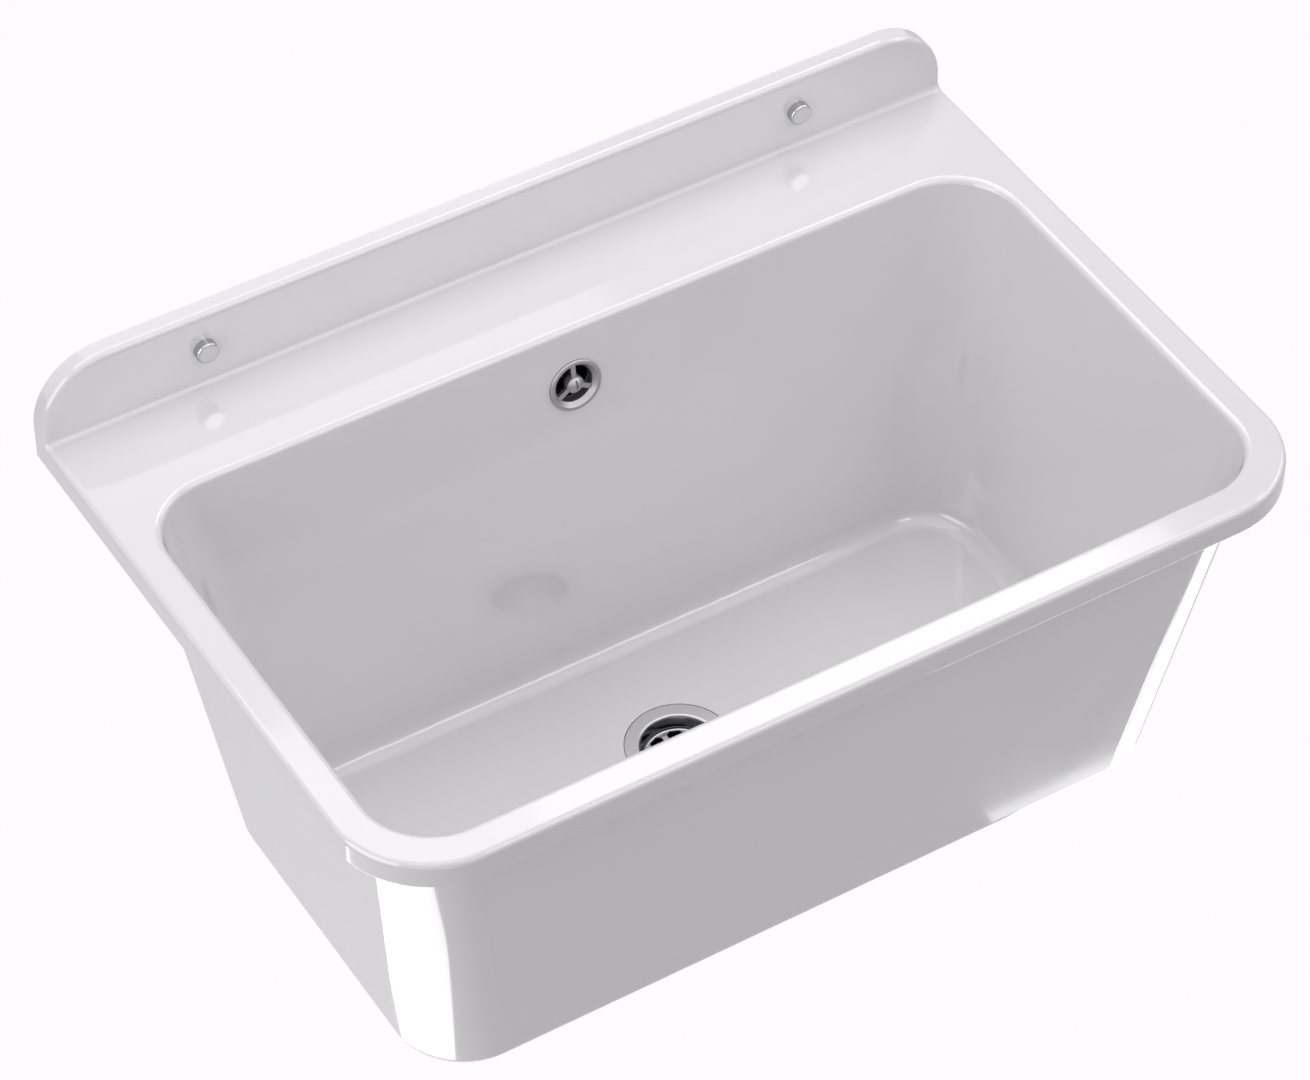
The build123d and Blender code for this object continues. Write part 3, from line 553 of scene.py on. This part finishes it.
for side in (-1.0, 1.0):
    front = thread(MACHINE_FLANK, MACHINE_PITCH, 0.0, -bolts_low.y)
    back = thread(WOOD_FLANK, WOOD_PITCH, -bolts_high.y, 0.0, WOOD_STEPS)
    for vert in back.verts:
        limit = POINT_R + (vert.co.z + bolts_high.y) * POINT_SLOPE
        radius = math.hypot(vert.co.x, vert.co.y)
        if radius > limit:
            vert.co.x, vert.co.y = vert.co.x * limit / radius, vert.co.y * limit / radius
    for shape in (front, back):
        bmesh.ops.rotate(
            shape,
            verts=shape.verts,
            cent=(0.0, 0.0, 0.0),
            matrix=Matrix.Rotation(math.radians(90), 3, "X"),
        )
        bmesh.ops.translate(shape, verts=shape.verts, vec=(side * BOLT_X, 0.0, 0.0))
    bolts += [front, back]
wall_bolts = finished_piece("threaded_wall_bolts", joined(bolts), "sink", "zinc_plated_steel")
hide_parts("wall_bolts")
print("bolts from", tuple(bolts_low), "to", tuple(bolts_high))

# %% [markdown]
# The trap's cup is undone by hand, so its collar has grip ribs all round. Each is a sphere
# drawn out tall and sunk half into the collar, and the cup carries them when it drops.

# %% Grip ribs of the cup
CUP_RIBS = 36
COLLAR_R = 33.5 * MM
COLLAR_HEIGHT = 16.0 * MM
RIB_REACH = (0.9 * MM, 1.3 * MM, 0.40 * COLLAR_HEIGHT)
RIB_SUNK = 0.1 * MM
collar_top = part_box("trap_cup")[1].z
ribs = bmesh.new()
for number in range(CUP_RIBS):
    turn = Matrix.Rotation(math.tau * number / CUP_RIBS, 4, "Z")
    stand = Matrix.Translation((WASTE_MIDDLE.x, WASTE_MIDDLE.y, collar_top - COLLAR_HEIGHT / 2))
    out = Matrix.Translation((COLLAR_R - RIB_SUNK, 0.0, 0.0))
    stretch = Matrix.Diagonal((*RIB_REACH, 1.0))
    bmesh.ops.create_uvsphere(
        ribs,
        u_segments=10,
        v_segments=8,
        radius=1.0,
        matrix=stand @ turn @ out @ stretch,
    )
finished_piece("cup_grip_ribs", ribs, "cup", "white_polypropylene", 180.0)

# %% [markdown]
# Under the cup's collar the trap's head has the coarse rounded thread that plastic traps
# have. It shows when the cup comes down. One bar of the thread is spun up three turns.

# %% Thread of the trap's head
HEAD_THREAD_R = 29.6 * MM
HEAD_THREAD_TOP = -371.0 * MM
HEAD_THREAD_START = HEAD_THREAD_TOP - 13.0 * MM
HEAD_THREAD_PITCH = 3.5 * MM
HEAD_THREAD_TURNS = 3
HEAD_THREAD_STEPS = 64
HEAD_THREAD_BAR = ((-0.4, 0.0), (0.2, 0.4), (0.2, 1.0), (-0.4, 1.4))
head_low, head_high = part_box("trap_body")
bar = bmesh.new()
corners = [
    bar.verts.new((HEAD_THREAD_R + out * MM, 0.0, HEAD_THREAD_START + up * MM))
    for out, up in HEAD_THREAD_BAR
]
profile = bar.faces.new(corners)
bmesh.ops.spin(
    bar,
    geom=[profile],
    cent=(0.0, 0.0, 0.0),
    axis=(0.0, 0.0, 1.0),
    dvec=(0.0, 0.0, HEAD_THREAD_PITCH / HEAD_THREAD_STEPS),
    angle=math.tau * HEAD_THREAD_TURNS,
    steps=HEAD_THREAD_STEPS * HEAD_THREAD_TURNS,
    use_merge=False,
    use_duplicate=False,
)
bmesh.ops.holes_fill(bar, edges=[edge for edge in bar.edges if edge.is_boundary], sides=0)
bmesh.ops.translate(bar, verts=bar.verts, vec=(WASTE_MIDDLE.x, WASTE_MIDDLE.y, 0.0))
finished_piece("trap_head_thread", bar, "sink", "white_polypropylene")
print("head from", round(head_low.z, 4), "to", round(head_high.z, 4))

# %% [markdown]
# The photograph is a studio picture with large soft boxes: the rim mirrors one overhead and
# behind, the outer left corner mirrors a low one as a white stripe, and the lower right
# corner fades out in another. A soft box is an area lamp. Its strength is given as radiance,
# the brightness of its face, where 1 is white, because that is what a mirror of it shows:
# power in watts is radiance times its area times pi.


# %% Soft boxes
def soft_box(name, middle, facing, wide, high, radiance):
    data = bpy.data.lights.new(name, "AREA")
    data.shape = "RECTANGLE"
    data.size, data.size_y = wide, high
    data.energy = math.pi * wide * high * radiance
    lamp = bpy.data.objects.new(name, data)
    bpy.context.scene.collection.objects.link(lamp)
    lamp.location = middle
    lamp.rotation_mode = "QUATERNION"
    lamp.rotation_quaternion = Vector(facing).to_track_quat("-Z", "Y")
    lamp.visible_camera = False
    bpy.context.view_layer.update()
    across = lamp.matrix_world.to_3x3() @ Vector((wide, high, 0.0))
    print(name, "spans", [round(abs(length), 2) for length in across])


DOWN, UP = (0.0, 0.0, -1.0), (0.0, 0.0, 1.0)
soft_box("overhead_front", (0.3, -0.5, 1.24), DOWN, 2.4, 1.2, 0.54)
soft_box("overhead_back", (0.06, 0.45, 1.24), DOWN, 1.9, 0.7, 1.65)
soft_box("overhead_far", (0.12, 1.05, 1.24), DOWN, 1.25, 0.5, 0.6)
soft_box("overhead_right", (0.65, 0.53, 1.23), DOWN, 0.6, 0.44, 0.7)
soft_box("overhead_near", (0.65, -1.30, 1.24), DOWN, 0.9, 0.4, 2.6)
soft_box("left_wall", (-1.5, -0.5, 0.54), (1.0, 0.0, 0.0), 1.2, 1.4, 1.9)
soft_box("right_high", (1.5, -0.5, 0.89), (-1.0, 0.0, 0.0), 1.2, 0.7, 1.75)
soft_box("front_high", (0.3, -1.7, 0.89), (0.0, 1.0, 0.0), 1.2, 0.7, 0.9)
soft_box("low_left", (-0.64, -0.23, -0.86), UP, 0.52, 0.66, 2.3)
soft_box("low_right", (0.65, -0.33, -0.86), UP, 0.5, 0.46, 1.8)


# %% [markdown]
# The background is plain white. Its white isn't light on the sink: the Light Path node tells
# a ray that comes from the camera, from a gloss or through glass from the rays that carry
# light, and only the first three see that white. The floor mixes it over a pale matt paint,
# which keeps a faint shadow of the sink. A gloss sees the floor at 42 % only, because a whole
# white floor would wash out the sink's outer walls.

# %% World and floor
FLOOR_Z = -0.90
STUDIO_WHITE = "#FFFDFF"
ROOM_LIGHT = 0.28
FLOOR_WHITE = 0.975
FLOOR_IN_GLOSS = 0.42


def seen_not_lit(tree, in_gloss=1.0):
    path = add_node(tree, "ShaderNodeLightPath")
    straight = add_node(
        tree,
        "ShaderNodeMath",
        settings={"operation": "MAXIMUM"},
        links={0: path.outputs["Is Camera Ray"], 1: path.outputs["Is Transmission Ray"]},
    )
    return add_node(
        tree,
        "ShaderNodeMath",
        settings={"operation": "MULTIPLY_ADD", "use_clamp": True},
        inputs={1: in_gloss},
        links={0: path.outputs["Is Glossy Ray"], 2: straight.outputs[0]},
    ).outputs[0]


world = bpy.data.worlds.new("studio")
bpy.context.scene.world = world
world.use_nodes = True
sky = world.node_tree
backdrop = sky.nodes["Background"]
backdrop.inputs["Color"].default_value = colour(STUDIO_WHITE)
strength = add_node(
    sky,
    "ShaderNodeMapRange",
    inputs={"To Min": ROOM_LIGHT, "To Max": 1.0},
    links={"Value": seen_not_lit(sky)},
)
sky.links.new(strength.outputs["Result"], backdrop.inputs["Strength"])

floor_mesh = bpy.data.meshes.new("studio_floor")
shape = bmesh.new()
bmesh.ops.create_grid(shape, x_segments=1, y_segments=1, size=15.0)
bmesh.ops.translate(shape, verts=shape.verts, vec=(0.0, 0.0, FLOOR_Z))
shape.to_mesh(floor_mesh)
shape.free()
floor = bpy.data.objects.new("studio_floor", floor_mesh)
bpy.context.scene.collection.objects.link(floor)
floor_paint, tree, shader, place = new_material(
    "pale_matt_floor", {"Base Color": colour("#DCDCDC"), "Roughness": 0.9}
)
white = add_node(
    tree, "ShaderNodeEmission", inputs={"Color": colour(STUDIO_WHITE), "Strength": 1.0}
)
amount = add_node(
    tree,
    "ShaderNodeMath",
    settings={"operation": "MULTIPLY"},
    inputs={1: FLOOR_WHITE},
    links={0: seen_not_lit(tree, FLOOR_IN_GLOSS)},
)
cover = add_node(
    tree,
    "ShaderNodeMixShader",
    links={0: amount.outputs[0], 1: shader.outputs[0], 2: white.outputs[0]},
)
tree.links.new(cover.outputs[0], tree.nodes["Material Output"].inputs["Surface"])
floor_mesh.materials.append(floor_paint)
print("floor at", FLOOR_Z)
